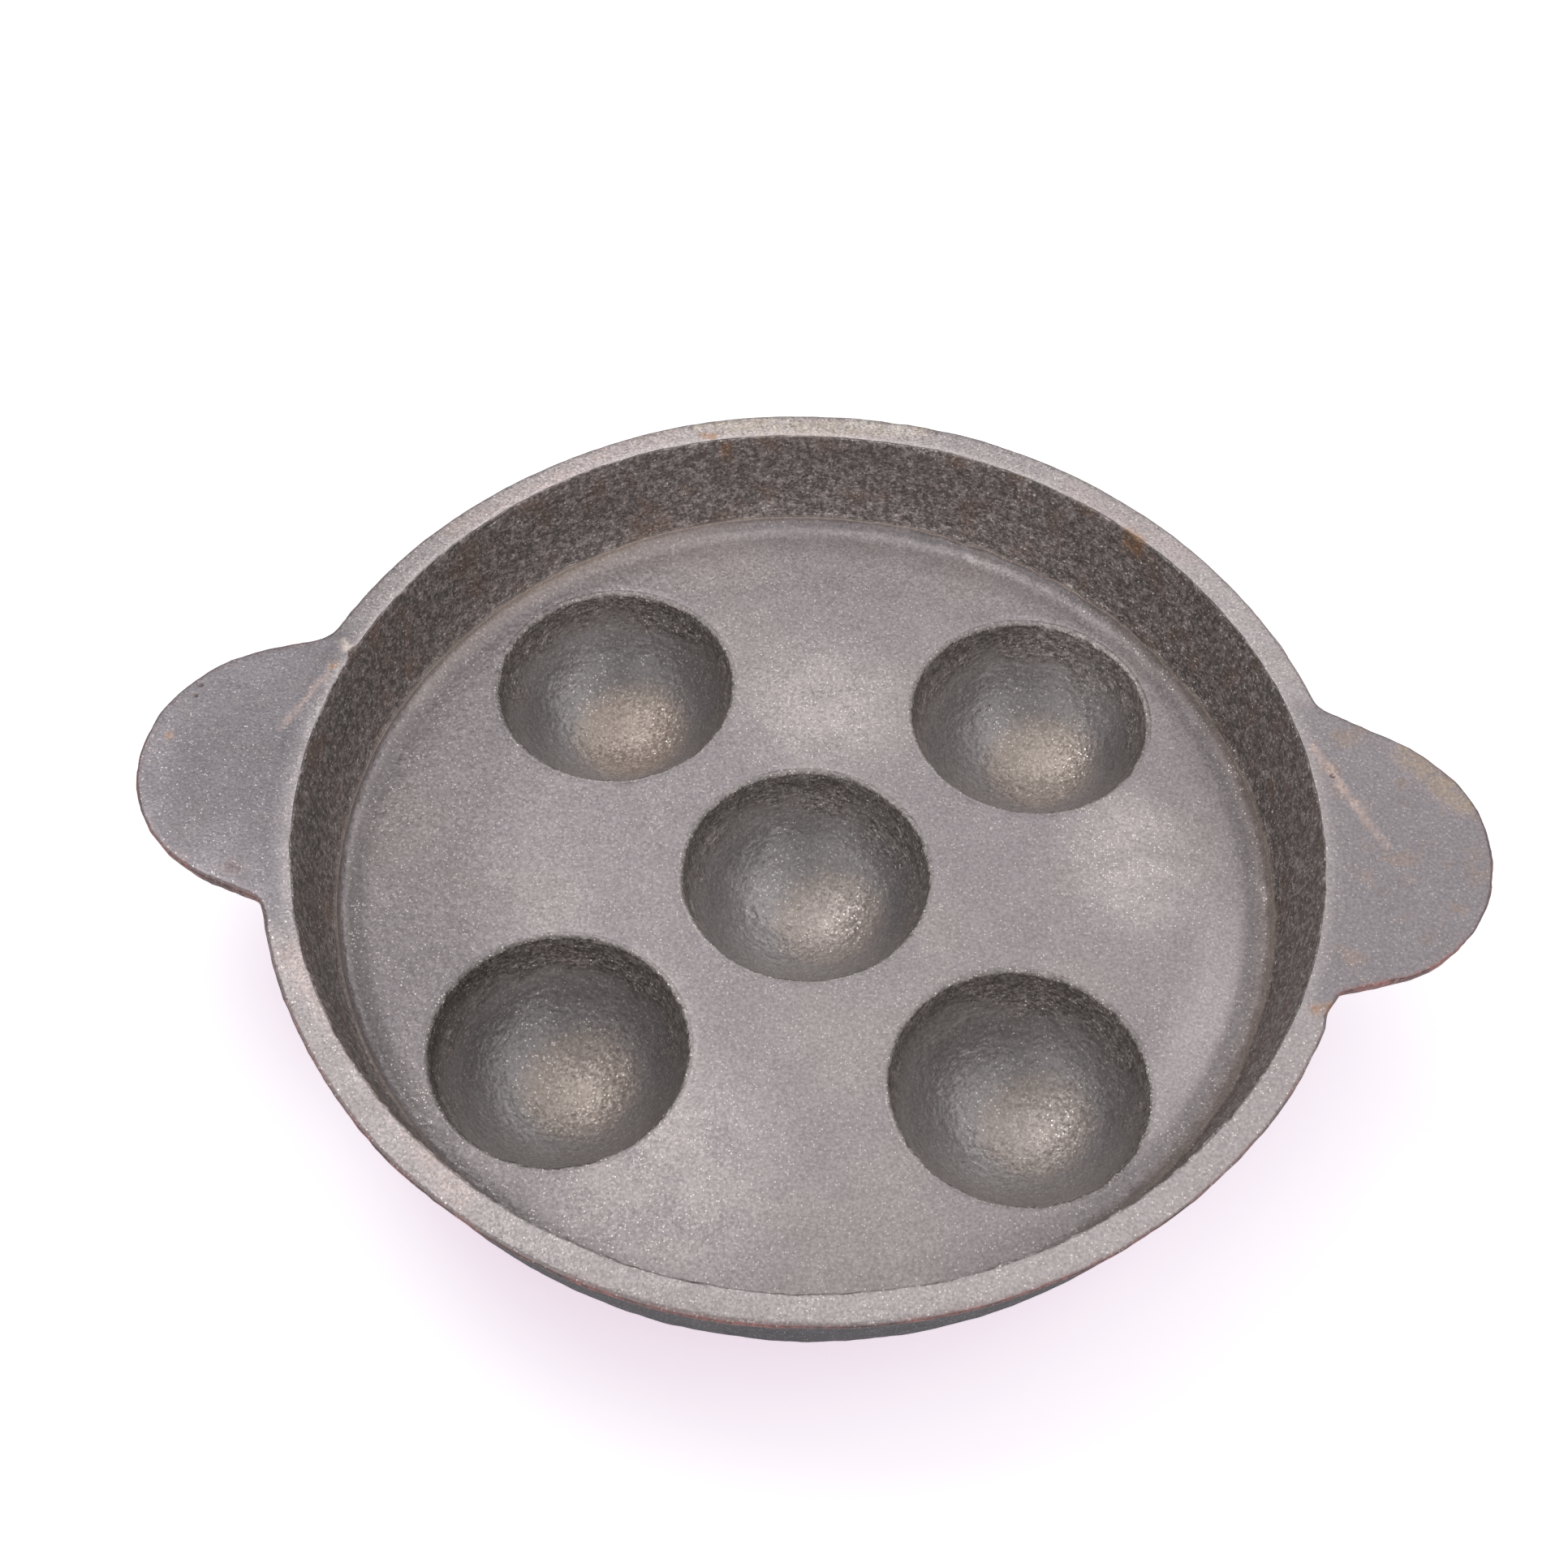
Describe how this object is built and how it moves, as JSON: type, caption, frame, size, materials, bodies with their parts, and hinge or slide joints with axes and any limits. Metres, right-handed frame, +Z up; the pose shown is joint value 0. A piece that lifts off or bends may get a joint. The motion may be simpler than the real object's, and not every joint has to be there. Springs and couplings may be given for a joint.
{
  "type": "paniyaram pan",
  "caption": "Round shallow cast iron pan with hemispherical cups in its floor and a flat lug on each side, for cooking round dumplings over a stove.",
  "frame": {"origin": "centre of the pan's plan at the level it stands on, in the flat under the middle cup", "axes": "+Z up out of the well, X along the two lugs, Y across"},
  "size_m": [0.2548, 0.204, 0.0476],
  "materials": {
    "iron": "sand-cast and ground, dull grey with a fine metallic sparkle"
  },
  "bodies": {
    "root": {"pan": "iron"}
  },
  "joints": []
}
